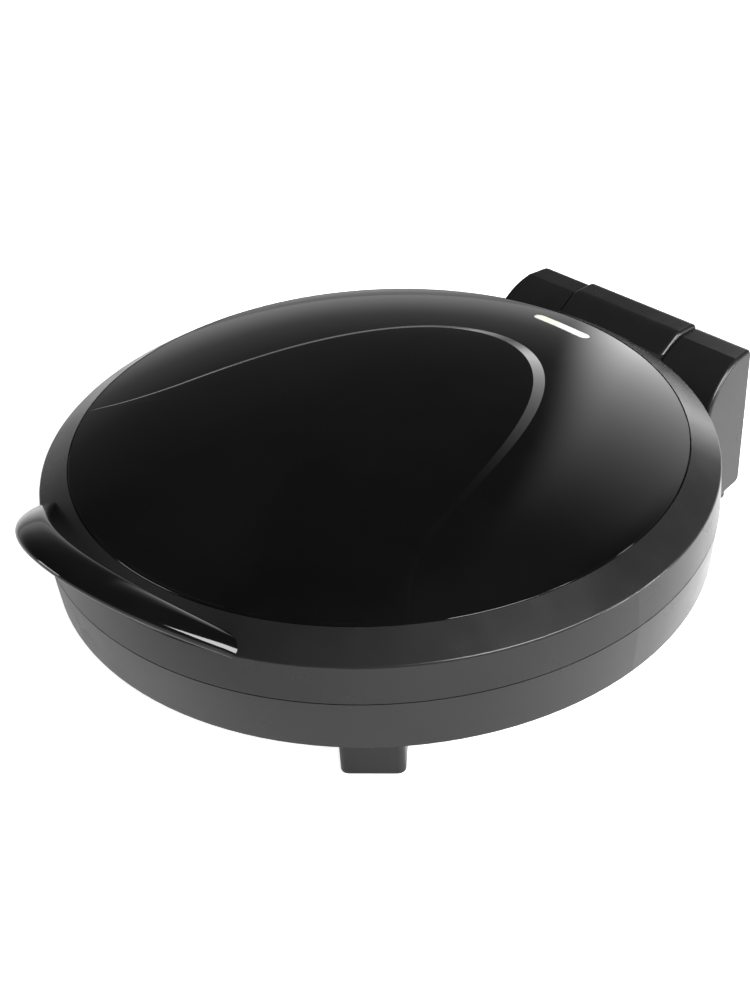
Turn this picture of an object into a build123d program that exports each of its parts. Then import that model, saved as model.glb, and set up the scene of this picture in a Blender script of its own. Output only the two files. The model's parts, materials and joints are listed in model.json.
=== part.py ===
from build123d import *
from math import asin, atan2, cos, degrees, hypot, radians, sin, sqrt, tan
import os

# Electric pancake pan: a round two-plate cooker with a hinged, floating lid.
# Lengths are in millimetres. +Z is up, +Y points to the hinge, the table is z = 0.
# Radii are measured from the pan's own upright axis, which stands at y = pan_y.

# Heights and radii of the outer skin
shoulder_z = 95.0
lid_r = 163.0
skirt_r = 164.0
skirt_drop = 18.5
ring_rise = 9.0
dome_r = 148.0
dome_rise = 16.0
dome_edge_slope = 17.0
part_gap = 0.5
base_side = 25.4
corner_r = 162.0
bowl_drop = 27.6
bowl_floor_r = 125.0
wall = 2.6
dome_wall = 2.4
dome_gap = 0.5
rebate = 3.0
lip_width = 6.0
shoulder_round = 1.2

# Hinge housing, seen from the side
rear_reach = 199.0
housing_bottom = 11.0
housing_half = 72.3
housing_splay = 0.13
cheek_flat = 15.0
housing_front = 150.0
pocket_half = 38.2
side_gap = 1.2
lid_clearance = 1.5
slope_mid_y = 172.0
slope_mid_drop = 5.0
slope_low_y = 160.0
slope_low_drop = 17.5
housing_round = 4.0
end_round = 2.2

# Hinge: a pin that floats upward in two slots and turns in the lid's arm
pin_y = 185.0
pin_z = 75.0
pin_r = 3.0
pin_fit = 0.05
press_fit = 0.02
float_travel = 12.0
open_angle = 105.0
barrel_r = 12.5
arm_rise = 2.3
arm_rear_gap = 0.5
arm_flat = 16.0
arm_root_y = 150.0
arm_valley_y = 169.0
arm_valley_z = 89.0
block_x = 9.4
block_y = 12.0
block_z = 10.0
slide_gap = 0.3
stop_gap = 0.4

# Cooking plates
plate_r = 160.7
flange_t = 2.5
plate_t = 3.5
pan_depth = 26.0
pan_mouth_r = 150.0
pan_floor_r = 144.0
pan_round = 5.0
upper_drop = 6.0
upper_face_r = 142.0
upper_mouth_r = 147.0
steam_gap = 2.0
heater_ring_r = 95.0
heater_r = 3.5
heater_gap = 0.1
heater_sweep = 330.0
rib_half = 7.0
rib_drop = 5.0
post_r = 4.5
post_ring_r = 112.0
upper_post_ring_r = 137.0
ledge_w = 7.0

# Heat shields, cut-outs, lamps and wiring
shield_t = 0.8
shield_drop = 12.2
shield_flat_r = 126.0
shield_r = 141.0
shield_rise = 9.0
shield_bore_r = 16.0
thermostat_r = 8.0
thermostat_h = 9.0
fuse_r = 2.2
fuse_length = 26.0
fuse_y = 42.0
terminal_size = (34.0, 16.0, 7.0)

# Bottom cover, feet and screws
opening_r = 88.0
cover_r = 97.0
cover_t = 2.2
cover_screw_r = 92.5
slot_count = 24
slot_length = 20.0
slot_width = 3.0
slot_ring_r = 58.0
foot_front_r = 128.0
foot_width = 30.0
foot_length = 30.0
foot_round = 4.0
pad_proud = 1.0
pad_depth = 2.0
rear_foot_inset = 4.0
rear_foot_length = 26.0
rear_foot_width = 17.0
screw_r = 1.9
screw_head_r = 3.6
screw_head_h = 2.2

# Handle: a bow that leans outward from the front of the ring
bow_half = 73.0
bow_root_y = 146.5
bow_root_z = 5.0
bow_height = 43.5
bow_lean = 40.0
bow_power = 2.9
strap_w = 12.4
strap_t = 8.6
bow_overrun = 1.07

# Window in the dome
window_length = 37.0
window_width = 7.0
window_y = 130.5
lens_gap = 0.15
lens_t = 1.6

# Lamps under the window
lamp_r = 2.5
lamp_h = 2.6
lamp_base_t = 2.0

# Raised panel on the dome, whose sloping edge shows as a bright ribbon
panel_tilt = 0.5
panel_front_y = -108.0
panel_rear_y = 103.0
panel_half = 97.0
panel_ref_z = 112.0
ribbon_slope = 20.0

# Cord bush in the back of the housing
bush_bore_r = 3.8
bush_r = 6.5
bush_flange_r = 9.0
bush_flange_t = 2.0
bush_length = 16.0
bush_z = 28.0

# Heights that follow from the driving sizes
part_z = shoulder_z - skirt_drop
rim_z = part_z - part_gap
corner_z = rim_z - base_side
bowl_z = corner_z - bowl_drop
seat_z = shoulder_z + ring_rise
apex_z = seat_z + dome_rise
ledge_z = rim_z - part_gap - flange_t
cook_z = rim_z - part_gap - pan_depth
under_z = cook_z - plate_t
upper_flange_z = rim_z - part_gap + steam_gap
upper_cook_z = part_z - upper_drop
upper_back_z = upper_cook_z + plate_t
shield_z = under_z - shield_drop
upper_shield_z = upper_back_z + shield_drop
tab_z = seat_z - rebate - wall
arm_half = pocket_half - side_gap
lean = radians(bow_lean)
front_reach = bow_root_y + bow_height * cos(lean) + hypot(strap_w * cos(lean), strap_t * sin(lean)) / 2
pan_y = (front_reach - rear_reach - bush_flange_t) / 2
pan_axis = Axis((0, pan_y, 0), (0, 0, 1))
side = Plane.XZ.offset(-pan_y)


def level(z, y=0.0, x=0.0):
    """A horizontal plane at height z, its origin y behind the pan's axis."""
    return Plane((x, pan_y + y, z))


def save(part, name):
    part.label = name
    export_step(part, "parts/" + name + ".step")


os.makedirs("parts", exist_ok=True)


ring_in = dome_r + dome_gap
lip_r = dome_r - lip_width


# Outer envelopes that neighbours are cut against
with BuildPart() as base_envelope:
    with BuildSketch(side):
        Polygon((0, rim_z), (skirt_r, rim_z), (corner_r, corner_z), (bowl_floor_r, bowl_z),
                (0, bowl_z), align=None)
    revolve(axis=pan_axis)

with BuildPart() as lid_envelope:
    with BuildSketch(side):
        Polygon((0, part_z), (skirt_r, part_z), (lid_r, shoulder_z), (ring_in, seat_z),
                (0, seat_z), align=None)
    revolve(axis=pan_axis)

with BuildPart() as lid_sweep_room:
    with BuildSketch(level(rim_z - lid_clearance)):
        Circle(skirt_r + lid_clearance)
    extrude(amount=shoulder_z)


# Lid ring: the sloping outer ring and skirt, with the lip that carries the dome
with BuildPart() as lid_ring:
    with BuildSketch(side):
        with BuildLine():
            Polyline(
                (skirt_r, part_z), (lid_r, shoulder_z), (ring_in, seat_z),
                (ring_in, seat_z - rebate), (lip_r, seat_z - rebate),
                (lip_r, tab_z), (ring_in, tab_z),
                (lid_r - wall, shoulder_z - wall), (skirt_r - wall, part_z), close=True)
        make_face()
    revolve(axis=pan_axis)
    shoulder = lid_ring.edges().filter_by(GeomType.CIRCLE).filter_by(
        lambda e: abs(e.radius - lid_r) < 0.01)
    fillet(shoulder, shoulder_round)
    # Four tabs reach inward under the dome and take the plate's screws
    with BuildSketch(level(tab_z)):
        with PolarLocations(upper_post_ring_r, 4, 45):
            SlotCenterToCenter(2 * lip_width, 2 * post_r + 2)
    extrude(amount=wall)
    with BuildSketch(level(tab_z)):
        with PolarLocations(upper_post_ring_r, 4, 45):
            Circle(screw_r + 0.2)
    extrude(amount=seat_z, mode=Mode.SUBTRACT)
save(lid_ring.part, "lid_ring")


# Dome cover: a shallow dome whose centre panel stands slightly proud, tilted up to the rear.
# A shallow cone joins the two surfaces, so the step between them is a tapering ribbon.
def dome_skin(drop):
    """The solid under a dome surface that lies `drop` below the outer one."""
    edge = (dome_r - drop, seat_z - drop)
    with BuildPart() as skin:
        with BuildSketch(side):
            with BuildLine():
                Spline((0, apex_z - drop), edge,
                       tangents=[(1, 0), (cos(radians(dome_edge_slope)), -sin(radians(dome_edge_slope)))])
                Polyline(edge, (dome_r - drop, tab_z), (0, tab_z), (0, apex_z - drop))
            make_face()
        revolve(axis=pan_axis)
    return skin.part


def panel_outline(z):
    """The ribbon cone's horseshoe section at height z, open end past the front."""
    s = (panel_ref_z - z) / tan(radians(ribbon_slope))
    half, rear = panel_half + s, panel_rear_y + s
    right = [(0.46 * panel_half + 0.6 * s, panel_rear_y - 16 + 0.8 * s),
             (0.9 * panel_half + 0.95 * s, panel_rear_y - 79.5 + 0.3 * s),
             (half, -45), (half - 2, -110)]
    left = [(-x, y) for x, y in reversed(right)]
    with BuildSketch(level(z)) as outline:
        with BuildLine():
            Spline(left + [(0, rear)] + right)
            Polyline(right[-1], (right[-1][0], -2 * lid_r), (left[0][0], -2 * lid_r), left[0])
        make_face()
    return outline.sketch


dome_solid = dome_skin(0)
panel_line = Axis((0, pan_y + panel_front_y, seat_z), (1, 0, 0))
with BuildPart() as ribbon_cone:
    add(panel_outline(tab_z))
    add(panel_outline(apex_z + dome_wall))
    loft(ruled=True)

with BuildPart() as panel_solid:
    add(dome_solid.rotate(panel_line, panel_tilt))
    add(ribbon_cone.part, mode=Mode.INTERSECT)
    with BuildSketch(level(tab_z)):
        Circle(dome_r)
    extrude(amount=2 * dome_rise, mode=Mode.INTERSECT)

with BuildPart() as dome_cover:
    add(dome_solid)
    add(panel_solid.part)
    add(dome_skin(dome_wall), mode=Mode.SUBTRACT)
    with BuildSketch(level(seat_z - rebate)):
        Circle(dome_r + 1)
    extrude(amount=-2 * rebate, mode=Mode.SUBTRACT)
    with BuildSketch(level(seat_z, window_y)):
        SlotOverall(window_length, window_width)
    extrude(amount=dome_rise, mode=Mode.SUBTRACT)
save(dome_cover.part, "dome_cover")

with BuildPart() as indicator_lens:
    add(dome_skin(0.1))
    add(dome_skin(lens_t), mode=Mode.SUBTRACT)
    with BuildSketch(level(seat_z, window_y)):
        SlotOverall(window_length - 2 * lens_gap, window_width - 2 * lens_gap)
    extrude(amount=dome_rise, mode=Mode.INTERSECT)
save(indicator_lens.part, "indicator_lens")

# Two indicator lamps stand under the window on a small holder
with BuildPart() as indicator_lamps:
    with BuildSketch(level(tab_z, window_y)):
        SlotOverall(window_length, lamp_r * 3)
    extrude(amount=lamp_base_t)
    with BuildSketch(level(tab_z + lamp_base_t, window_y)):
        with GridLocations(window_length / 2, 1, 2, 1):
            Circle(lamp_r)
    extrude(amount=lamp_h)
    fillet(indicator_lamps.faces().sort_by(Axis.Z)[-2:].edges(), lamp_r * 0.6)
save(indicator_lamps.part, "indicator_lamps")


# Front handle: an oval strap swept along a bow that leans outward over the ring's front
bow_plane = Plane(origin=(0, pan_y - bow_root_y, shoulder_z + bow_root_z), x_dir=(1, 0, 0),
                  z_dir=(0, sin(lean), cos(lean)))


def bow_point(share):
    """A point of the bow, share running from -1 at the left root to 1 at the right."""
    return (share * bow_half, -bow_height * (1 - abs(share) ** bow_power))


with BuildLine(bow_plane) as bow_path:
    Spline([bow_point(k * bow_overrun) for k in (-1, -0.85, -0.6, -0.3, 0, 0.3, 0.6, 0.85, 1)])

with BuildPart() as bow:
    with BuildSketch(Plane(bow_path.line @ 0, x_dir=bow_plane.z_dir, z_dir=bow_path.line % 0)):
        Ellipse(strap_t / 2, strap_w / 2)
    sweep(path=bow_path.line)

with BuildPart() as front_handle:
    add(bow.part)
    add(lid_envelope.part, mode=Mode.SUBTRACT)
    with BuildSketch(level(part_z)):
        Circle(lid_r - strap_w)
    extrude(amount=2 * skirt_drop, mode=Mode.SUBTRACT)
save(front_handle.part, "front_handle")


# Hinge arm: bolted to the back of the ring, it carries the knuckle that turns on the pin
arm_top = shoulder_z + arm_rise
arm_rear = rear_reach - arm_rear_gap
with BuildPart() as hinge_arm:
    with BuildSketch(Plane.YZ.offset(-arm_half)):
        with Locations((pan_y, 0)):
            Polygon((arm_root_y, part_z + part_gap), (pin_y, part_z + part_gap), (arm_rear, pin_z),
                    (arm_rear, arm_top), (arm_rear - arm_flat, arm_top),
                    (arm_valley_y, arm_valley_z), (arm_root_y, arm_valley_z), align=None)
        with Locations((pan_y + pin_y, pin_z)):
            Circle(barrel_r)
    extrude(amount=2 * arm_half)
    top_edges = hinge_arm.edges().filter_by(Axis.X).group_by(Axis.Z)[-1]
    fillet(top_edges.sort_by(Axis.Y)[-1], housing_round)
    fillet(top_edges.sort_by(Axis.Y)[0], 2 * housing_round)
    ends = hinge_arm.faces().filter_by(Axis.X)
    fillet(ends.edges().filter_by(lambda e: (e @ 0.5).Z > arm_valley_z + 1), end_round)
    with BuildSketch(Plane.YZ.offset(-arm_half)):
        with Locations((pan_y + pin_y, pin_z)):
            Circle(pin_r + pin_fit)
    extrude(amount=2 * arm_half, mode=Mode.SUBTRACT)
    add(lid_envelope.part, mode=Mode.SUBTRACT)
save(hinge_arm.part, "hinge_arm")

# Floating pin and its two slide blocks
pin_half = pocket_half + slide_gap + block_x
with BuildPart() as hinge_pin:
    with BuildSketch(Plane.YZ.offset(-pin_half)):
        with Locations((pan_y + pin_y, pin_z)):
            Circle(pin_r)
    extrude(amount=2 * pin_half)
    chamfer(hinge_pin.edges().filter_by(GeomType.CIRCLE), pin_r / 6)
save(hinge_pin.part, "hinge_pin")

with BuildPart() as slide_blocks:
    for x in (-pin_half, pin_half - block_x):
        with BuildSketch(Plane.YZ.offset(x)):
            with Locations((pan_y + pin_y, pin_z)):
                RectangleRounded(block_y, block_z, 1)
                Circle(pin_r + press_fit, mode=Mode.SUBTRACT)
        extrude(amount=block_x)
save(slide_blocks.part, "slide_blocks")


# Hinge housing: two cheeks either side of an open pocket, standing on the table behind the pan
def housing_block(inset):
    """The housing's outer block with every side drawn in by `inset`."""
    front_half = housing_half + housing_splay * (rear_reach - housing_front)
    with BuildPart() as block:
        with BuildSketch(level(0)):
            Polygon((-housing_half, rear_reach), (-front_half, housing_front),
                    (front_half, housing_front), (housing_half, rear_reach), align=None)
            if inset:
                offset(amount=-inset, kind=Kind.INTERSECTION)
        extrude(amount=shoulder_z)
        with BuildSketch(Plane.YZ):
            with BuildLine():
                back, flat = pan_y + rear_reach, pan_y + rear_reach - cheek_flat
                low = (pan_y + slope_low_y, shoulder_z - slope_low_drop)
                ThreePointArc((flat, shoulder_z), (pan_y + slope_mid_y, shoulder_z - slope_mid_drop), low)
                Polyline(low, (pan_y + housing_front, corner_z), (pan_y + housing_front, bowl_z + 12),
                         (pan_y + housing_front + 16, housing_bottom), (back, housing_bottom),
                         (back, shoulder_z), (flat, shoulder_z))
            make_face()
            if inset:
                offset(amount=-inset, kind=Kind.INTERSECTION)
        extrude(amount=2 * housing_half, both=True, mode=Mode.INTERSECT)
    return block.part


opening = radians(open_angle)
lip_y, face_y = rear_reach - pin_y, arm_rear - pin_y
stop_z = pin_z + (lip_y * cos(opening) - face_y) / sin(opening) - stop_gap
channel_x = block_x + 2 * slide_gap
channel_y = block_y + 2 * slide_gap
channel_z = block_z + float_travel + 2 * slide_gap

with BuildPart() as hollow:
    add(housing_block(wall))
    with BuildSketch(level(stop_z - wall, pin_y)):
        Rectangle(2 * (pocket_half + channel_x + wall), 4 * block_y + 40)
    extrude(amount=shoulder_z, mode=Mode.SUBTRACT)

with BuildPart() as block:
    add(housing_block(0))
    fillet(block.edges().filter_by(Axis.X).filter_by(
        lambda e: (e @ 0.5).Y > pan_y + rear_reach - 1), housing_round)
    fillet(block.edges().filter_by(lambda e: abs((e @ 0.5).X) > housing_half - 3
           and (e @ 0.5).Z > corner_z and (e @ 0.5).Y > pan_y + slope_low_y - 8), end_round)

with BuildPart() as hinge_housing:
    add(block.part)
    add(hollow.part, mode=Mode.SUBTRACT)
    with BuildSketch(level(stop_z, pin_y)):
        Rectangle(2 * pocket_half, 4 * block_y + 40)
    extrude(amount=shoulder_z, mode=Mode.SUBTRACT)
    for x in (-1, 1):
        with BuildSketch(Plane.YZ.offset(x * (pocket_half + channel_x / 2))):
            with Locations((pan_y + pin_y, pin_z + float_travel / 2)):
                Rectangle(channel_y, channel_z)
        extrude(amount=channel_x / 2 + 0.001, both=True, mode=Mode.SUBTRACT)
    add(base_envelope.part, mode=Mode.SUBTRACT)
    add(lid_sweep_room.part, mode=Mode.SUBTRACT)
    with BuildSketch(Plane.XZ.offset(-pan_y - rear_reach)):
        with Locations((0, bush_z)):
            Circle(bush_r)
    extrude(amount=2 * wall, both=True, mode=Mode.SUBTRACT)
save(hinge_housing.part, "hinge_housing")


# Cooking plates: cast discs with a rib on the back that holds the heater ring
def heater_groove(z):
    """The ring-shaped groove for a heater whose centre line lies at height z."""
    with BuildPart() as groove:
        with BuildSketch(side):
            with Locations((heater_ring_r, z)):
                Circle(heater_r + heater_gap)
        revolve(axis=pan_axis)
    return groove.part


lower_heater_z = under_z - heater_r
upper_heater_z = upper_back_z + heater_r
with BuildPart() as lower_plate:
    with BuildSketch(side):
        with BuildLine():
            Polyline((0, under_z), (pan_floor_r + plate_t - 2, under_z),
                     (pan_mouth_r + plate_t, ledge_z), (plate_r, ledge_z),
                     (plate_r, ledge_z + flange_t), (pan_mouth_r, ledge_z + flange_t),
                     (pan_floor_r, cook_z), (0, cook_z), close=True)
        make_face()
    revolve(axis=pan_axis)
    inner_edge = lower_plate.edges().filter_by(GeomType.CIRCLE).filter_by(
        lambda e: abs(e.radius - pan_floor_r) < 0.01)
    fillet(inner_edge, pan_round)
    with BuildSketch(side):
        with Locations((heater_ring_r, under_z - rib_drop / 2)):
            Rectangle(2 * rib_half, rib_drop)
    revolve(axis=pan_axis)
    with BuildSketch(level(under_z)):
        with PolarLocations(post_ring_r, 3, 90):
            Circle(post_r)
    extrude(amount=-shield_drop)
    with BuildSketch(level(shield_z)):
        with PolarLocations(post_ring_r, 3, 90):
            Circle(screw_r + press_fit)
    extrude(amount=shield_drop, mode=Mode.SUBTRACT)
    add(heater_groove(lower_heater_z), mode=Mode.SUBTRACT)
save(lower_plate.part, "lower_plate")

with BuildPart() as upper_plate:
    with BuildSketch(side):
        Polygon((0, upper_cook_z), (upper_face_r, upper_cook_z), (upper_mouth_r, upper_flange_z),
                (plate_r, upper_flange_z), (plate_r, upper_flange_z + flange_t),
                (upper_mouth_r + 1, upper_flange_z + flange_t), (upper_face_r - 1, upper_back_z),
                (0, upper_back_z), align=None)
    revolve(axis=pan_axis)
    outer_edge = upper_plate.edges().filter_by(GeomType.CIRCLE).filter_by(
        lambda e: abs(e.radius - upper_face_r) < 0.01)
    fillet(outer_edge, pan_round / 2)
    with BuildSketch(side):
        with Locations((heater_ring_r, upper_back_z + rib_drop / 2)):
            Rectangle(2 * rib_half, rib_drop)
    revolve(axis=pan_axis)
    with BuildSketch(level(upper_back_z)):
        with PolarLocations(upper_post_ring_r, 4, 45):
            Circle(post_r)
    extrude(amount=tab_z - upper_back_z)
    with BuildSketch(level(upper_back_z)):
        with PolarLocations(post_ring_r, 3, 90):
            Circle(post_r)
    extrude(amount=shield_drop)
    with BuildSketch(level(upper_back_z + plate_t)):
        with PolarLocations(upper_post_ring_r, 4, 45):
            Circle(screw_r + press_fit)
        with PolarLocations(post_ring_r, 3, 90):
            Circle(screw_r + press_fit)
    extrude(amount=tab_z, mode=Mode.SUBTRACT)
    add(heater_groove(upper_heater_z), mode=Mode.SUBTRACT)
save(upper_plate.part, "upper_plate")


# Tubular heaters: an open ring with two terminal ends that turn down, or up in the lid
def heater(z, way):
    """A heater ring at height z whose terminal ends point along Z in the direction `way`."""
    with BuildPart() as ring:
        with BuildSketch(side):
            with Locations((heater_ring_r, z)):
                Circle(heater_r)
        revolve(axis=pan_axis, revolution_arc=heater_sweep)
        with BuildSketch(level(z)):
            with PolarLocations(heater_ring_r, 2, 0, heater_sweep, endpoint=True):
                Circle(heater_r * 0.98)
        extrude(amount=way * (rib_drop + heater_r))
        with BuildSketch(level(z + way * (rib_drop + heater_r))):
            with PolarLocations(heater_ring_r, 2, 0, heater_sweep, endpoint=True):
                Circle(heater_r * 0.35)
        extrude(amount=way * heater_r)
    return ring.part


with BuildPart() as lower_heater:
    add(heater(lower_heater_z, -1))
save(lower_heater.part, "lower_heater")

with BuildPart() as upper_heater:
    add(heater(upper_heater_z, 1))
save(upper_heater.part, "upper_heater")


# Heat shields: thin dished discs, cut out round the thermostat, posts and heater ends
def shield(z, way):
    with BuildPart() as disc:
        with BuildSketch(side):
            Polygon((shield_bore_r, z), (shield_flat_r, z), (shield_r, z - way * shield_rise),
                    (shield_r + shield_t, z - way * (shield_rise - shield_t)),
                    (shield_flat_r + shield_t, z + way * shield_t), (shield_bore_r, z + way * shield_t),
                    align=None)
        revolve(axis=pan_axis)
        with BuildSketch(level(z - shield_rise)):
            with PolarLocations(post_ring_r, 3, 90):
                Circle(screw_r + side_gap / 4)
            with PolarLocations(upper_post_ring_r, 4, 45):
                Circle(post_r + side_gap)
            with PolarLocations(heater_ring_r, 2, 0, heater_sweep, endpoint=True):
                Circle(heater_r + 1.5)
            with PolarLocations(shield_flat_r * 0.5, 8, 22.5):
                SlotOverall(slot_length, slot_width)
        extrude(amount=2 * shield_rise, mode=Mode.SUBTRACT)
    return disc.part


with BuildPart() as lower_heat_shield:
    add(shield(shield_z, -1))
save(lower_heat_shield.part, "lower_heat_shield")

with BuildPart() as upper_heat_shield:
    add(shield(upper_shield_z, 1))
save(upper_heat_shield.part, "upper_heat_shield")


# Bimetal thermostats and sleeved thermal fuses, held against the backs of the plates
def thermostat(z, way):
    with BuildPart() as body:
        with BuildSketch(level(z)):
            Circle(thermostat_r)
        extrude(amount=way * thermostat_h)
        with BuildSketch(level(z)):
            SlotCenterToCenter(3 * thermostat_r, 7)
        extrude(amount=way * 1.2)
        with BuildSketch(level(z + way * thermostat_h)):
            with GridLocations(thermostat_r, 1, 2, 1):
                Rectangle(0.8, 6.3)
        extrude(amount=way * 6)
    return body.part


with BuildPart() as lower_thermostat:
    add(thermostat(under_z, -1))
save(lower_thermostat.part, "lower_thermostat")

with BuildPart() as upper_thermostat:
    add(thermostat(upper_back_z, 1))
save(upper_thermostat.part, "upper_thermostat")


def fuse(z):
    with BuildPart() as body:
        with BuildSketch(Plane.YZ.offset(-fuse_length / 2)):
            with Locations((pan_y + fuse_y, z)):
                Circle(fuse_r)
        extrude(amount=fuse_length)
        chamfer(body.edges().filter_by(GeomType.CIRCLE), fuse_r / 4)
        with BuildSketch(Plane.YZ.offset(-fuse_length)):
            with Locations((pan_y + fuse_y, z)):
                Circle(fuse_r / 4)
        extrude(amount=2 * fuse_length)
    return body.part


with BuildPart() as lower_fuse:
    add(fuse(under_z - fuse_r))
save(lower_fuse.part, "lower_fuse")

with BuildPart() as upper_fuse:
    add(fuse(upper_back_z + fuse_r))
save(upper_fuse.part, "upper_fuse")


# Base shell: a bowl with a sharp lower corner, an inner ledge for the plate and bosses below it
cone_slope = atan2(bowl_drop, corner_r - bowl_floor_r)
inner_floor_r = bowl_floor_r - wall * tan(cone_slope / 2)
inner_corner_r = corner_r - wall
inner_corner_z = bowl_z + wall + (inner_corner_r - inner_floor_r) * tan(cone_slope)
with BuildPart() as base_shell:
    with BuildSketch(side):
        Polygon((skirt_r, rim_z), (corner_r, corner_z), (bowl_floor_r, bowl_z), (opening_r, bowl_z),
                (opening_r, bowl_z + wall), (inner_floor_r, bowl_z + wall),
                (inner_corner_r, inner_corner_z), (skirt_r - wall, ledge_z - wall),
                (skirt_r - wall - ledge_w, ledge_z - wall), (skirt_r - wall - ledge_w, ledge_z),
                (skirt_r - wall, ledge_z), (skirt_r - wall, rim_z), align=None)
    revolve(axis=pan_axis)
    with BuildSketch(level(bowl_z + wall)):
        with PolarLocations(post_ring_r, 3, 90):
            Circle(post_r + 1)
    extrude(amount=shield_z - shield_t - bowl_z - wall)
    with BuildSketch(level(bowl_z)):
        with PolarLocations(post_ring_r, 3, 90):
            Circle(screw_r + side_gap / 4)
    extrude(amount=shield_drop, mode=Mode.SUBTRACT)
    with BuildSketch(level(bowl_z)):
        with PolarLocations(post_ring_r, 3, 90):
            Circle(screw_head_r + side_gap / 4)
    extrude(amount=screw_head_h + 1, mode=Mode.SUBTRACT)
    with BuildSketch(level(bowl_z)):
        with PolarLocations(cover_screw_r, 4, 0):
            Circle(screw_r + press_fit)
    extrude(amount=2 * wall, mode=Mode.SUBTRACT)
save(base_shell.part, "base_shell")

# Bottom cover: a round plate with ventilation slots, screwed over the opening in the bowl
with BuildPart() as bottom_cover:
    with BuildSketch(level(bowl_z)):
        Circle(cover_r)
        with PolarLocations(cover_screw_r, 4, 0):
            Circle(screw_r + side_gap / 4, mode=Mode.SUBTRACT)
        with PolarLocations(slot_ring_r, slot_count):
            SlotOverall(slot_length, slot_width, mode=Mode.SUBTRACT)
    extrude(amount=-cover_t)
    chamfer(bottom_cover.edges().filter_by(GeomType.CIRCLE).sort_by(SortBy.RADIUS)[-1], 0.6)
save(bottom_cover.part, "bottom_cover")

# Front feet: rounded blocks that grow out of the bowl, each with an inset rubber pad
foot_mid_r = foot_front_r - foot_length / 2
front_spots = [(foot_mid_r * cos(radians(a)), foot_mid_r * sin(radians(a)), a) for a in (-45, -135)]
with BuildPart() as front_feet:
    for x, y, turn in front_spots:
        with BuildSketch(level(pad_proud, y, x)):
            RectangleRounded(foot_length, foot_width, foot_round, rotation=turn)
        extrude(amount=corner_z - pad_proud)
    add(base_envelope.part, mode=Mode.SUBTRACT)
    fillet(front_feet.faces().sort_by(Axis.Z)[:2].edges(), foot_round / 4)
    for x, y, turn in front_spots:
        with BuildSketch(level(pad_proud, y, x)):
            RectangleRounded(foot_length - 2 * foot_round, foot_width - 2 * foot_round, foot_round / 2,
                             rotation=turn)
        extrude(amount=pad_depth, mode=Mode.SUBTRACT)
save(front_feet.part, "front_feet")

# Rear feet: two blocks under the housing, set in a little from its sides and back
rear_x = housing_half - rear_foot_inset - rear_foot_width / 2
rear_y = rear_reach - rear_foot_inset - rear_foot_length / 2
with BuildPart() as rear_feet:
    for x in (-rear_x, rear_x):
        with BuildSketch(level(pad_proud, rear_y, x)):
            RectangleRounded(rear_foot_width, rear_foot_length, foot_round)
        extrude(amount=housing_bottom - pad_proud)
    fillet(rear_feet.faces().sort_by(Axis.Z)[:2].edges(), foot_round / 4)
    for x in (-rear_x, rear_x):
        with BuildSketch(level(pad_proud, rear_y, x)):
            RectangleRounded(rear_foot_width - foot_round, rear_foot_length - foot_round, foot_round / 2)
        extrude(amount=pad_depth, mode=Mode.SUBTRACT)
save(rear_feet.part, "rear_feet")

with BuildPart() as rubber_pads:
    for x, y, turn in front_spots:
        with BuildSketch(level(0, y, x)):
            RectangleRounded(foot_length - 2 * foot_round - slide_gap, foot_width - 2 * foot_round - slide_gap,
                             foot_round / 2, rotation=turn)
        extrude(amount=pad_proud + pad_depth)
    for x in (-rear_x, rear_x):
        with BuildSketch(level(0, rear_y, x)):
            RectangleRounded(rear_foot_width - foot_round - slide_gap,
                             rear_foot_length - foot_round - slide_gap, foot_round / 2)
        extrude(amount=pad_proud + pad_depth)
save(rubber_pads.part, "rubber_pads")

# Cord bush: a flanged sleeve through the back wall of the housing
with BuildPart() as cord_bush:
    with BuildSketch(Plane.XZ.offset(-pan_y - rear_reach)):
        with Locations((0, bush_z)):
            Circle(bush_flange_r)
    extrude(amount=-bush_flange_t)
    fillet(cord_bush.edges().sort_by(Axis.Y)[-1], bush_flange_t / 2)
    with BuildSketch(Plane.XZ.offset(-pan_y - rear_reach)):
        with Locations((0, bush_z)):
            Circle(bush_r - press_fit)
    extrude(amount=bush_length - bush_flange_t)
    with BuildSketch(Plane.XZ.offset(-pan_y - rear_reach - bush_flange_t)):
        with Locations((0, bush_z)):
            Circle(bush_bore_r)
    extrude(amount=bush_length, mode=Mode.SUBTRACT)
save(cord_bush.part, "cord_bush")

# Terminal block: a ceramic block with clamp screws, on the bottom cover
with BuildPart() as terminal_block:
    with BuildSketch(level(bowl_z)):
        RectangleRounded(terminal_size[0], terminal_size[1], 1)
    extrude(amount=terminal_size[2])
    with BuildSketch(level(bowl_z + terminal_size[2])):
        with GridLocations(terminal_size[0] / 3, terminal_size[1] / 2, 3, 2):
            Circle(screw_r)
    extrude(amount=-terminal_size[2] / 2, mode=Mode.SUBTRACT)
save(terminal_block.part, "terminal_block")


# Screws: one node for each place, as a group of separate solids
def screws(name, z, way, length, ring_r, count, start):
    """Pan-head screws whose heads sit at z and whose shanks run along Z in direction `way`."""
    with BuildPart() as group:
        with BuildSketch(level(z)):
            with PolarLocations(ring_r, count, start):
                Circle(screw_head_r)
        extrude(amount=-way * screw_head_h)
        heads = group.edges().filter_by(GeomType.CIRCLE).group_by(Axis.Z)[0 if way > 0 else -1]
        fillet(heads, screw_head_h / 2)
        with BuildSketch(level(z)):
            with PolarLocations(ring_r, count, start):
                Circle(screw_r)
        extrude(amount=way * length)
        with BuildSketch(level(z - way * screw_head_h)):
            with PolarLocations(ring_r, count, start):
                Rectangle(2 * screw_r, 0.8)
                Rectangle(0.8, 2 * screw_r)
        extrude(amount=way * screw_head_h / 2, mode=Mode.SUBTRACT)
    save(group.part, name)


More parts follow.
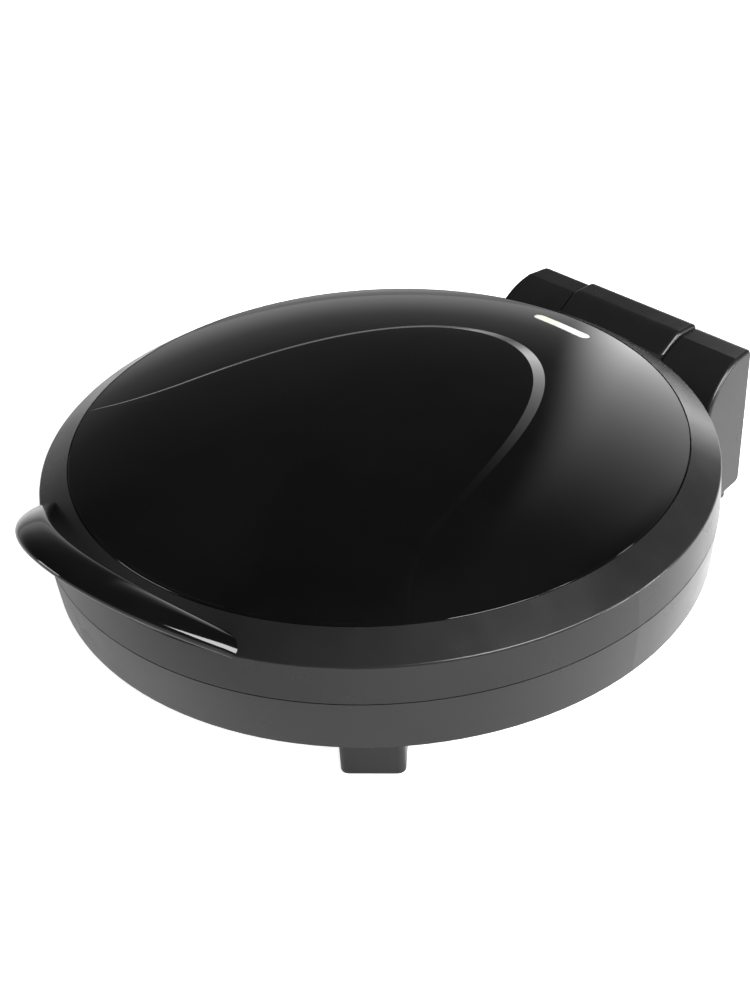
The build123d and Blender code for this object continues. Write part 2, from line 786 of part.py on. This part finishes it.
screws("lower_plate_screws", bowl_z + screw_head_h + 1, 1, shield_drop + 3, post_ring_r, 3, 90)
screws("upper_plate_screws", seat_z - rebate, -1, 3 * wall, upper_post_ring_r, 4, 45)
screws("shield_screws", upper_shield_z + shield_t, -1, 2 * wall, post_ring_r, 3, 90)
screws("cover_screws", bowl_z - cover_t, 1, 2 * wall, cover_screw_r, 4, 0)
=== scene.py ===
import json
from math import cos, pi, radians, sin, tan

import bpy
import numpy as np
from mathutils import Matrix, Vector


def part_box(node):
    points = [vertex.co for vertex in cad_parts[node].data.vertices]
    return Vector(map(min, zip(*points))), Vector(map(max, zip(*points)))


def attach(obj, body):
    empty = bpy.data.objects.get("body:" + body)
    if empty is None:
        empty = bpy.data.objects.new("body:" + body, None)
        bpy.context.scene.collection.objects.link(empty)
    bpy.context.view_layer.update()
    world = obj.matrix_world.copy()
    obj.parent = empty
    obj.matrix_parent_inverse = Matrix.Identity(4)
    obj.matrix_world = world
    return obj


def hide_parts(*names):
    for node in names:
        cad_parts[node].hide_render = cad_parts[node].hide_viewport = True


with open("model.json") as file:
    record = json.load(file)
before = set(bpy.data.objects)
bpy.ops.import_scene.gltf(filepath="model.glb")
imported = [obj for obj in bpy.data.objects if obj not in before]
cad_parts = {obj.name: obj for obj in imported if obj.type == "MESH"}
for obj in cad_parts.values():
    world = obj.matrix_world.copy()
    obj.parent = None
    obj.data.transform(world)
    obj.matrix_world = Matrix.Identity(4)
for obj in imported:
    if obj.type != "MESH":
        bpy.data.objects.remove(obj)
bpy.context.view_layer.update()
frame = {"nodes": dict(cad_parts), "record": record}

mm = 0.001

# Places worked out from the frame: the pan's upright axis, the lid's shoulder and the dome's edge
ring_low, ring_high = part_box("lid_ring")
dome_low, dome_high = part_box("dome_cover")
lens_low, lens_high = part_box("indicator_lens")
axis_y = (ring_low.y + ring_high.y) / 2
dome_r = (dome_high.x - dome_low.x) / 2
seat_z = ring_high.z
shoulder_drop = 9 * mm
shoulder_z = seat_z - shoulder_drop
window_y = (lens_low.y + lens_high.y) / 2 - axis_y
window_half = (lens_high.x - lens_low.x) / 2
window_width_half = (lens_high.y - lens_low.y) / 2

# Dome: its rise, its slope and rounding at the edge, how deep the edge reaches into the ring, its wall
dome_rise = 16 * mm
edge_slope = radians(17)
edge_round = 0.5 * mm
edge_depth = 3 * mm
edge_sink = 0.3 * edge_round
dome_wall = 2.4 * mm

# Raised panel on the dome: its tilt, the place where it starts, its plan and its sloping side, the ribbon.
# The limits are the widest shares of the dome's radius that the panel and the ribbon may reach.
panel_tilt = tan(radians(0.5))
panel_start = -108 * mm
panel_blend = 26 * mm
panel_half = 97 * mm
panel_waist = -45 * mm
panel_reach = 148 * mm
panel_rise = 8 * mm
ribbon_slope = tan(radians(20))
ribbon_least = 0.02 * mm
panel_limit = 0.985
ribbon_limit = 0.995

# Handle: a flat strap along a bow that leans outward over the front of the ring
bow_half = 67.5 * mm
bow_root_y = -144.6 * mm
bow_root_z = 2.3 * mm
bow_reach = 31.5 * mm
bow_rise = 25.6 * mm
bow_end = 1.08
bow_power = 2.04
strap_width = 18.0 * mm
strap_thick = 6.3 * mm
strap_squareness = 2.4
strap_narrowing = 0.43
strap_tilt = radians(7.7)

# Camera: solved from the photograph's concentric ring ellipses
view_azimuth = radians(50.2)
view_elevation = radians(34.7035)
view_roll = radians(3.5754)
view_distance = 733.5 * mm
aim_right = 3.123 * mm
aim_up = 26.306 * mm
focal_pixels = 1512.97
picture_height = 1000

# Window: how far it stands proud of the dome, how deep it is set, and how quickly its ends turn round
lens_proud = 0.16 * mm
lens_depth = 0.5 * mm
lens_end_turn = 8

# Noise: features per metre of the colour drift and of the uneven gloss, and the noise's middle band
drift_scale = 14
gloss_scale = 60
noise_low, noise_high = 0.3, 0.7
tint_low, tint_high = 0.35, 0.65

# Light: what mirrors see of the white floor, the floor's glow, and the tall screen of light behind the pan
mirror_share = 0.35
floor_half = 8.0
floor_glow = 0.86
screen_azimuth = radians(112)
screen_spread = radians(14)
screen_top = 0.85
screen_full = 0.1
screen_strength = 4.5
room_levels = ((0.0, 1.0), (0.09, 0.8), (0.2, 0.4), (0.36, 0.18), (0.57, 0.09), (1.0, 0.06))


def make_camera():
    c, s = cos(view_azimuth), sin(view_azimuth)
    right = Vector((c, s, 0))
    ahead = Vector((-s, c, 0))
    up = ahead * sin(view_elevation) + Vector((0, 0, 1)) * cos(view_elevation)
    back = -ahead * cos(view_elevation) + Vector((0, 0, 1)) * sin(view_elevation)
    place = Vector((0, axis_y, shoulder_z)) - right * aim_right - up * aim_up + back * view_distance
    turned_right = right * cos(view_roll) - up * sin(view_roll)
    turned_up = right * sin(view_roll) + up * cos(view_roll)
    data = bpy.data.cameras.new("camera")
    data.lens = focal_pixels / picture_height * data.sensor_width
    data.clip_start = 0.01
    camera = bpy.data.objects.new("camera", data)
    bpy.context.scene.collection.objects.link(camera)
    turn = Matrix((turned_right, turned_up, back)).transposed().to_4x4()
    camera.matrix_world = Matrix.Translation(place) @ turn
    bpy.context.scene.camera = camera


# Materials
def new_material(name):
    """A material, its node tree and its shader node."""
    material = bpy.data.materials.new(name)
    material.use_nodes = True
    return material, material.node_tree, material.node_tree.nodes["Principled BSDF"]


def noise(tree, scale, detail):
    """Noise of the object's own coordinates; scale is in features per metre."""
    place = tree.nodes.new("ShaderNodeTexCoord")
    texture = tree.nodes.new("ShaderNodeTexNoise")
    texture.inputs["Scale"].default_value = scale
    texture.inputs["Detail"].default_value = detail
    tree.links.new(place.outputs["Object"], texture.inputs["Vector"])
    return texture.outputs["Fac"]


def vary(tree, source, span, target):
    """Maps a noise's middle band to a span of values and feeds it to a socket."""
    ramp = tree.nodes.new("ShaderNodeMapRange")
    ramp.inputs["From Min"].default_value = noise_low
    ramp.inputs["From Max"].default_value = noise_high
    ramp.inputs["To Min"].default_value = span[0]
    ramp.inputs["To Max"].default_value = span[1]
    tree.links.new(source, ramp.inputs["Value"])
    tree.links.new(ramp.outputs["Result"], target)


def tint(tree, source, dark, light, target):
    """Mixes two colours by a noise and feeds the result to a socket."""
    ramp = tree.nodes.new("ShaderNodeValToRGB")
    ramp.color_ramp.elements[0].position = tint_low
    ramp.color_ramp.elements[0].color = (*dark, 1)
    ramp.color_ramp.elements[1].position = tint_high
    ramp.color_ramp.elements[1].color = (*light, 1)
    tree.links.new(source, ramp.inputs["Fac"])
    tree.links.new(ramp.outputs["Color"], target)


def bump(tree, source, shader, distance):
    """Fine relief from a noise; distance is its height in metres."""
    node = tree.nodes.new("ShaderNodeBump")
    node.inputs["Distance"].default_value = distance
    tree.links.new(source, node.inputs["Height"])
    tree.links.new(node.outputs["Normal"], shader.inputs["Normal"])


def finish(name, dark, light, rough, grain, depth, specular=0.5, metallic=0.0):
    """A surface with a slight colour drift, uneven roughness and a fine grain."""
    material, tree, shader = new_material(name)
    tint(tree, noise(tree, drift_scale, 4), dark, light, shader.inputs["Base Color"])
    vary(tree, noise(tree, gloss_scale, 5), rough, shader.inputs["Roughness"])
    bump(tree, noise(tree, grain, 3), shader, depth)
    shader.inputs["Specular IOR Level"].default_value = specular
    shader.inputs["Metallic"].default_value = metallic
    return material


def lens_finish(name, painted_glow_centre, painted_glow_radius):
    """Frosted pale plastic with a faint yellow-green glow over one lamp, painted into its base colour."""
    material, tree, shader = new_material(name)
    place = tree.nodes.new("ShaderNodeTexCoord")
    away = tree.nodes.new("ShaderNodeVectorMath")
    away.operation = "DISTANCE"
    away.inputs[1].default_value = painted_glow_centre
    tree.links.new(place.outputs["Object"], away.inputs[0])
    # Painted glow: the base colour turns yellow-green near the lamp, standing in for the lamp's light
    # through the window
    near = tree.nodes.new("ShaderNodeMapRange")
    near.inputs["From Min"].default_value = 0
    near.inputs["From Max"].default_value = painted_glow_radius
    near.inputs["To Min"].default_value = 0.7
    near.inputs["To Max"].default_value = 0
    tree.links.new(away.outputs["Value"], near.inputs["Value"])
    mix = tree.nodes.new("ShaderNodeMix")
    mix.data_type = "RGBA"
    mix.inputs["B"].default_value = (0.62, 0.66, 0.36, 1)
    tint(tree, noise(tree, 30, 3), (0.56, 0.56, 0.54), (0.64, 0.64, 0.62), mix.inputs["A"])
    tree.links.new(near.outputs["Result"], mix.inputs["Factor"])
    tree.links.new(mix.outputs["Result"], shader.inputs["Base Color"])
    shader.inputs["Roughness"].default_value = 0.3
    return material


satin = finish("satin_black", (0.007, 0.007, 0.0072), (0.010, 0.010, 0.0103),
               rough=(0.22, 0.28), grain=2500, depth=6e-6, specular=0.25)
gloss = finish("gloss_black", (0.0015, 0.0015, 0.0016), (0.0025, 0.0025, 0.0026),
               rough=(0.06, 0.09), grain=300, depth=2e-7, specular=0.25)
# Centre of the painted lamp glow on the window, above one lamp
lamp_place = (-window_half / 2, axis_y + window_y, seat_z + edge_depth)
pale_lens = lens_finish("frosted_lens", lamp_place, painted_glow_radius=6 * mm)
ceramic = finish("ceramic", (0.62, 0.60, 0.54), (0.75, 0.73, 0.67),
                 rough=(0.55, 0.7), grain=1500, depth=3e-5)
nylon = finish("nylon", (0.55, 0.54, 0.50), (0.64, 0.63, 0.59),
               rough=(0.4, 0.5), grain=1200, depth=2e-5)
rubber = finish("rubber", (0.012, 0.012, 0.012), (0.02, 0.02, 0.02),
                rough=(0.7, 0.85), grain=2200, depth=5e-5)
lamp = finish("lamp", (0.75, 0.25, 0.06), (0.85, 0.4, 0.12),
              rough=(0.15, 0.25), grain=900, depth=1e-5)
coated = finish("coated_plate", (0.022, 0.022, 0.024), (0.045, 0.045, 0.048),
                rough=(0.28, 0.42), grain=1800, depth=3e-5)
steel = finish("sheet_steel", (0.55, 0.55, 0.54), (0.68, 0.68, 0.67),
               rough=(0.25, 0.4), grain=700, depth=2e-5, metallic=1.0)
dark_steel = finish("heater_steel", (0.20, 0.19, 0.18), (0.32, 0.31, 0.29),
                    rough=(0.35, 0.5), grain=900, depth=3e-5, metallic=1.0)
zinc = finish("zinc_steel", (0.55, 0.56, 0.58), (0.70, 0.71, 0.72),
              rough=(0.2, 0.32), grain=900, depth=1e-5, metallic=1.0)

finish_of_slot = {"satin_black": satin, "gloss_black": gloss, "frosted_lens": pale_lens, "lamp": lamp,
                  "coated_plate": coated, "heater_steel": dark_steel, "sheet_steel": steel,
                  "ceramic": ceramic, "zinc_steel": zinc, "nylon": nylon, "rubber": rubber}

for entry in frame["record"]["subparts"]:
    mesh = frame["nodes"][entry["node"]].data
    mesh.materials.clear()
    mesh.materials.append(finish_of_slot[entry["material_slot"]])


# Mesh helpers
def add_piece(name, points, faces, slot, replaced, crease):
    """A smooth-shaded piece of the lid that stands for a CAD node."""
    mesh = bpy.data.meshes.new(name)
    mesh.from_pydata([tuple(p) for p in points], [], faces)
    mesh.validate()
    mesh.materials.append(finish_of_slot[slot])
    mesh.polygons.foreach_set("use_smooth", [True] * len(mesh.polygons))
    mesh.set_sharp_from_angle(angle=crease)
    piece = bpy.data.objects.new(name, mesh)
    bpy.context.scene.collection.objects.link(piece)
    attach(piece, "lid")
    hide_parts(replaced)


def grid_faces(rows, columns):
    """Quads of a grid of points stored row by row, each row closed on itself."""
    faces = []
    for i in range(rows - 1):
        for j in range(columns):
            k = (j + 1) % columns
            here, above = i * columns, (i + 1) * columns
            faces.append((here + j, here + k, above + k, above + j))
    return faces


# Dome surface, in the pan's own frame: x, y from the axis and heights in metres from the table
def dome_height(r):
    """Height of the plain dome at radius r, from the crown's level tangent to the edge's slope."""
    lean = np.hypot(dome_r, dome_rise) / 3
    share = np.linspace(0, 1, 400)
    rest = 1 - share
    across = 3 * rest ** 2 * share * lean + 3 * rest * share ** 2 * (dome_r - lean * cos(edge_slope))
    across = across + share ** 3 * dome_r
    height = rest ** 3 * dome_rise + 3 * rest ** 2 * share * dome_rise
    height = height + 3 * rest * share ** 2 * lean * sin(edge_slope)
    return seat_z + np.interp(r, across, height)


def panel_height(x, y):
    """Height of the raised panel, which lifts off the dome ever more towards the back."""
    ahead = y - panel_start
    lift = panel_tilt * (ahead + np.hypot(ahead, panel_blend)) / 2
    return dome_height(np.hypot(x, y)) + lift


def spread(x, y):
    """How far a point lies outside the panel's outline: an ellipse behind, straight sides in front."""
    low, high = np.full(x.shape, -panel_half * 0.9), np.full(x.shape, panel_half)
    for _ in range(40):
        middle = (low + high) / 2
        inside = (x / (panel_half + middle)) ** 2 + ((y - panel_waist) / (panel_reach + middle)) ** 2 < 1
        high = np.where(inside, middle, high)
        low = np.where(inside, low, middle)
    return np.where(y > panel_waist, (low + high) / 2, np.abs(x) - panel_half)


def ribbon_height(x, y):
    """Height of the ribbon's slope, which falls outward from the panel's outline."""
    return seat_z + panel_rise - spread(x, y) * ribbon_slope


def crossing(gap, angles):
    """For each direction, the radius at which gap(x, y) turns from positive to negative."""
    low, high = np.full(angles.shape, dome_r * 0.1), np.full(angles.shape, dome_r)
    for _ in range(40):
        middle = (low + high) / 2
        positive = gap(middle * np.cos(angles), middle * np.sin(angles)) > 0
        low = np.where(positive, middle, low)
        high = np.where(positive, high, middle)
    return low


def make_dome():
    """The dome with its raised panel; rows of points follow the panel's upper and lower edges."""
    columns = 720
    angles = np.arange(columns) * 2 * pi / columns
    upper = crossing(lambda x, y: ribbon_height(x, y) - panel_height(x, y), angles)
    lower = crossing(lambda x, y: ribbon_height(x, y) - dome_height(np.hypot(x, y)), angles)
    rim = dome_r - edge_round
    upper = np.minimum(upper, rim * panel_limit)
    lower = np.minimum(np.maximum(lower, upper + ribbon_least), rim * ribbon_limit)
    panel_rows = [upper * share for share in np.linspace(0.01, 1, 90)]
    ribbon_rows = [upper + (lower - upper) * share for share in np.linspace(0, 1, 12)[1:]]
    skin_rows = [lower + (rim - lower) * share for share in np.linspace(0, 1, 50)[1:]]
    points = []
    for radius in panel_rows + ribbon_rows:
        x, y = radius * np.cos(angles), radius * np.sin(angles)
        z = np.maximum(np.minimum(panel_height(x, y), ribbon_height(x, y)), dome_height(radius))
        points.extend(zip(x, y + axis_y, z))
    for radius in skin_rows:
        points.extend(zip(radius * np.cos(angles), radius * np.sin(angles) + axis_y, dome_height(radius)))
    edge_steps = 6
    for step in range(1, edge_steps + 1):
        turn = step / edge_steps * pi / 2
        radius = rim + edge_round * sin(turn)
        height = dome_height(rim) - edge_round * (1 - cos(turn))
        points.extend((radius * cos(a), axis_y + radius * sin(a), height) for a in angles)
    for radius in (dome_r, dome_r - dome_wall):
        foot_z = seat_z - edge_sink - edge_depth
        points.extend((radius * cos(a), axis_y + radius * sin(a), foot_z) for a in angles)
    faces = grid_faces(len(points) // columns, columns)
    points.append((0, axis_y, float(panel_height(np.array(0.0), np.array(0.0)))))
    crown = len(points) - 1
    faces.extend((crown, j, (j + 1) % columns) for j in range(columns))
    add_piece("smooth_dome", points, faces, "gloss_black", "dome_cover", crease=radians(6))


def make_lens():
    """The window: a pale strip with round ends that follows the dome and stands a touch proud."""
    straight = window_half - window_width_half
    columns = 96
    levels = [(scale, lens_proud) for scale in (0.02, 0.3, 0.6, 0.85)]
    levels += [(0.95, lens_proud * 0.8), (1.0, 0), (1.0, -lens_depth)]
    points = []
    for scale, lift in levels:
        for j in range(columns):
            a = 2 * pi * (j + 0.5) / columns
            end = straight if cos(a) > 0 else -straight
            x = end * min(1, abs(cos(a)) * lens_end_turn) + window_width_half * scale * cos(a)
            y = window_y + window_width_half * scale * sin(a)
            points.append((x, axis_y + y, float(dome_height(np.hypot(x, y))) + lift))
    faces = grid_faces(len(levels), columns)
    faces.append(tuple(reversed(range(columns))))
    add_piece("window_lens", points, faces, "frosted_lens", "indicator_lens", crease=radians(40))


def make_handle():
    """The handle strap: an oval section that stays nearly level and narrows to its roots."""
    stations, columns = 161, 48
    level_way = Vector((0, cos(strap_tilt), -sin(strap_tilt)))
    points = []
    for i in range(stations):
        t = bow_end * (2 * i / (stations - 1) - 1)
        out = 1 - abs(t) ** bow_power
        steep = -bow_power * abs(t) ** (bow_power - 1) * (1 if t > 0 else -1)
        centre = Vector((bow_half * t, axis_y + bow_root_y - bow_reach * out,
                         shoulder_z + bow_root_z + bow_rise * out))
        way = Vector((bow_half, -bow_reach * steep, bow_rise * steep)).normalized()
        across = (level_way - way * level_way.dot(way)).normalized()
        above = way.cross(across)
        width = strap_width * (1 - strap_narrowing * min(t * t, 1))
        for j in range(columns):
            a = 2 * pi * j / columns
            c, s = cos(a), sin(a)
            flat = (abs(c) ** strap_squareness + abs(s) ** strap_squareness) ** (-1 / strap_squareness)
            points.append(centre + across * (width / 2 * c * flat) + above * (strap_thick / 2 * s * flat))
    faces = grid_faces(stations, columns)
    faces.append(tuple(reversed(range(columns))))
    faces.append(tuple(range((stations - 1) * columns, stations * columns)))
    add_piece("bow_handle", points, faces, "gloss_black", "front_handle", crease=radians(50))


# Stage: a white floor, a room that is bright near the horizon and dark above, and soft lamps
def white_for_view(tree):
    """A factor that is 1 for camera rays and mirror_share for glossy and transmission rays."""
    path = tree.nodes.new("ShaderNodeLightPath")
    seen = path.outputs["Is Camera Ray"]
    for kind in ("Is Glossy Ray", "Is Transmission Ray"):
        either = tree.nodes.new("ShaderNodeMath")
        either.operation = "MULTIPLY_ADD"
        tree.links.new(path.outputs[kind], either.inputs[0])
        either.inputs[1].default_value = mirror_share
        tree.links.new(seen, either.inputs[2])
        seen = either.outputs["Value"]
    return seen


def math_node(tree, operation, first, second):
    """The result of an operation on a socket and another socket or a plain number."""
    node = tree.nodes.new("ShaderNodeMath")
    node.operation = operation
    tree.links.new(first, node.inputs[0])
    if isinstance(second, float):
        node.inputs[1].default_value = second
    else:
        tree.links.new(second, node.inputs[1])
    return node.outputs["Value"]


def soft_step(tree, source, start, end):
    """A smooth rise from 0 at start to 1 at end."""
    ramp = tree.nodes.new("ShaderNodeMapRange")
    ramp.interpolation_type = "SMOOTHSTEP"
    ramp.inputs["From Min"].default_value = start
    ramp.inputs["From Max"].default_value = end
    tree.links.new(source, ramp.inputs["Value"])
    return ramp.outputs["Result"]


def tall_screen(tree, direction, height):
    """A tall soft screen of light behind the pan, brightest low down; strength by direction."""
    level = tree.nodes.new("ShaderNodeVectorMath")
    level.operation = "MULTIPLY"
    level.inputs[1].default_value = (1, 1, 0)
    tree.links.new(direction, level.inputs[0])
    unit = tree.nodes.new("ShaderNodeVectorMath")
    unit.operation = "NORMALIZE"
    tree.links.new(level.outputs["Vector"], unit.inputs[0])
    facing = tree.nodes.new("ShaderNodeVectorMath")
    facing.operation = "DOT_PRODUCT"
    facing.inputs[1].default_value = (cos(screen_azimuth), sin(screen_azimuth), 0)
    tree.links.new(unit.outputs["Vector"], facing.inputs[0])
    inside = soft_step(tree, facing.outputs["Value"], cos(screen_spread), cos(screen_spread / 2))
    low = soft_step(tree, height, screen_top, screen_full)
    return math_node(tree, "MULTIPLY", math_node(tree, "MULTIPLY", inside, low), screen_strength)


def make_floor():
    size = floor_half
    mesh = bpy.data.meshes.new("floor")
    corners = [(-size, -size, 0), (size, -size, 0), (size, size, 0), (-size, size, 0)]
    mesh.from_pydata(corners, [], [(0, 1, 2, 3)])
    floor = bpy.data.objects.new("floor", mesh)
    bpy.context.scene.collection.objects.link(floor)
    material, tree, shader = new_material("floor")
    shader.inputs["Base Color"].default_value = (0.8, 0.8, 0.8, 1)
    shader.inputs["Roughness"].default_value = 0.9
    shader.inputs["Specular IOR Level"].default_value = 0
    shader.inputs["Emission Color"].default_value = (1, 1, 1, 1)
    glow = tree.nodes.new("ShaderNodeMath")
    glow.operation = "MULTIPLY"
    glow.inputs[1].default_value = floor_glow
    tree.links.new(white_for_view(tree), glow.inputs[0])
    tree.links.new(glow.outputs["Value"], shader.inputs["Emission Strength"])
    mesh.materials.append(material)


def make_world():
    world = bpy.data.worlds.new("world")
    bpy.context.scene.world = world
    world.use_nodes = True
    tree = world.node_tree
    paper = tree.nodes["Background"]
    paper.inputs["Color"].default_value = (1, 1, 1, 1)
    paper.inputs["Strength"].default_value = 1.0
    room = tree.nodes.new("ShaderNodeBackground")
    place = tree.nodes.new("ShaderNodeTexCoord")
    height = tree.nodes.new("ShaderNodeSeparateXYZ")
    tree.links.new(place.outputs["Generated"], height.inputs[0])
    ramp = tree.nodes.new("ShaderNodeValToRGB")
    while len(ramp.color_ramp.elements) < len(room_levels):
        ramp.color_ramp.elements.new(0.5)
    for element, (position, level) in zip(ramp.color_ramp.elements, room_levels):
        element.position = position
        element.color = (level, level, level, 1)
    tree.links.new(height.outputs["Z"], ramp.inputs["Fac"])
    glow = tall_screen(tree, place.outputs["Generated"], height.outputs["Z"])
    tree.links.new(math_node(tree, "ADD", ramp.outputs["Color"], glow), room.inputs["Strength"])
    path = tree.nodes.new("ShaderNodeLightPath")
    mix = tree.nodes.new("ShaderNodeMixShader")
    tree.links.new(path.outputs["Is Camera Ray"], mix.inputs["Fac"])
    tree.links.new(room.outputs[0], mix.inputs[1])
    tree.links.new(paper.outputs[0], mix.inputs[2])
    tree.links.new(mix.outputs[0], tree.nodes["World Output"].inputs["Surface"])


def softbox(name, place, target, size, power):
    data = bpy.data.lights.new(name, "AREA")
    data.shape = "RECTANGLE"
    data.size, data.size_y = size
    data.energy = power
    light = bpy.data.objects.new(name, data)
    bpy.context.scene.collection.objects.link(light)
    light.location = place
    light.rotation_euler = (Vector(target) - Vector(place)).to_track_quat("-Z", "Y").to_euler()


make_camera()
make_dome()
make_lens()
make_handle()
make_floor()
make_world()
softbox("right_box", (0.95, 0.05, 0.85), (0, 0, 0.1), size=(0.9, 0.5), power=40)
softbox("rear_side_box", (1.1, 0.75, 0.3), (0, 0.1, 0.08), size=(0.5, 0.4), power=14)
softbox("left_box", (-0.7, -1.1, 0.35), (0, 0, 0.08), size=(0.5, 0.4), power=8)
bpy.context.scene.view_settings.view_transform = "Standard"
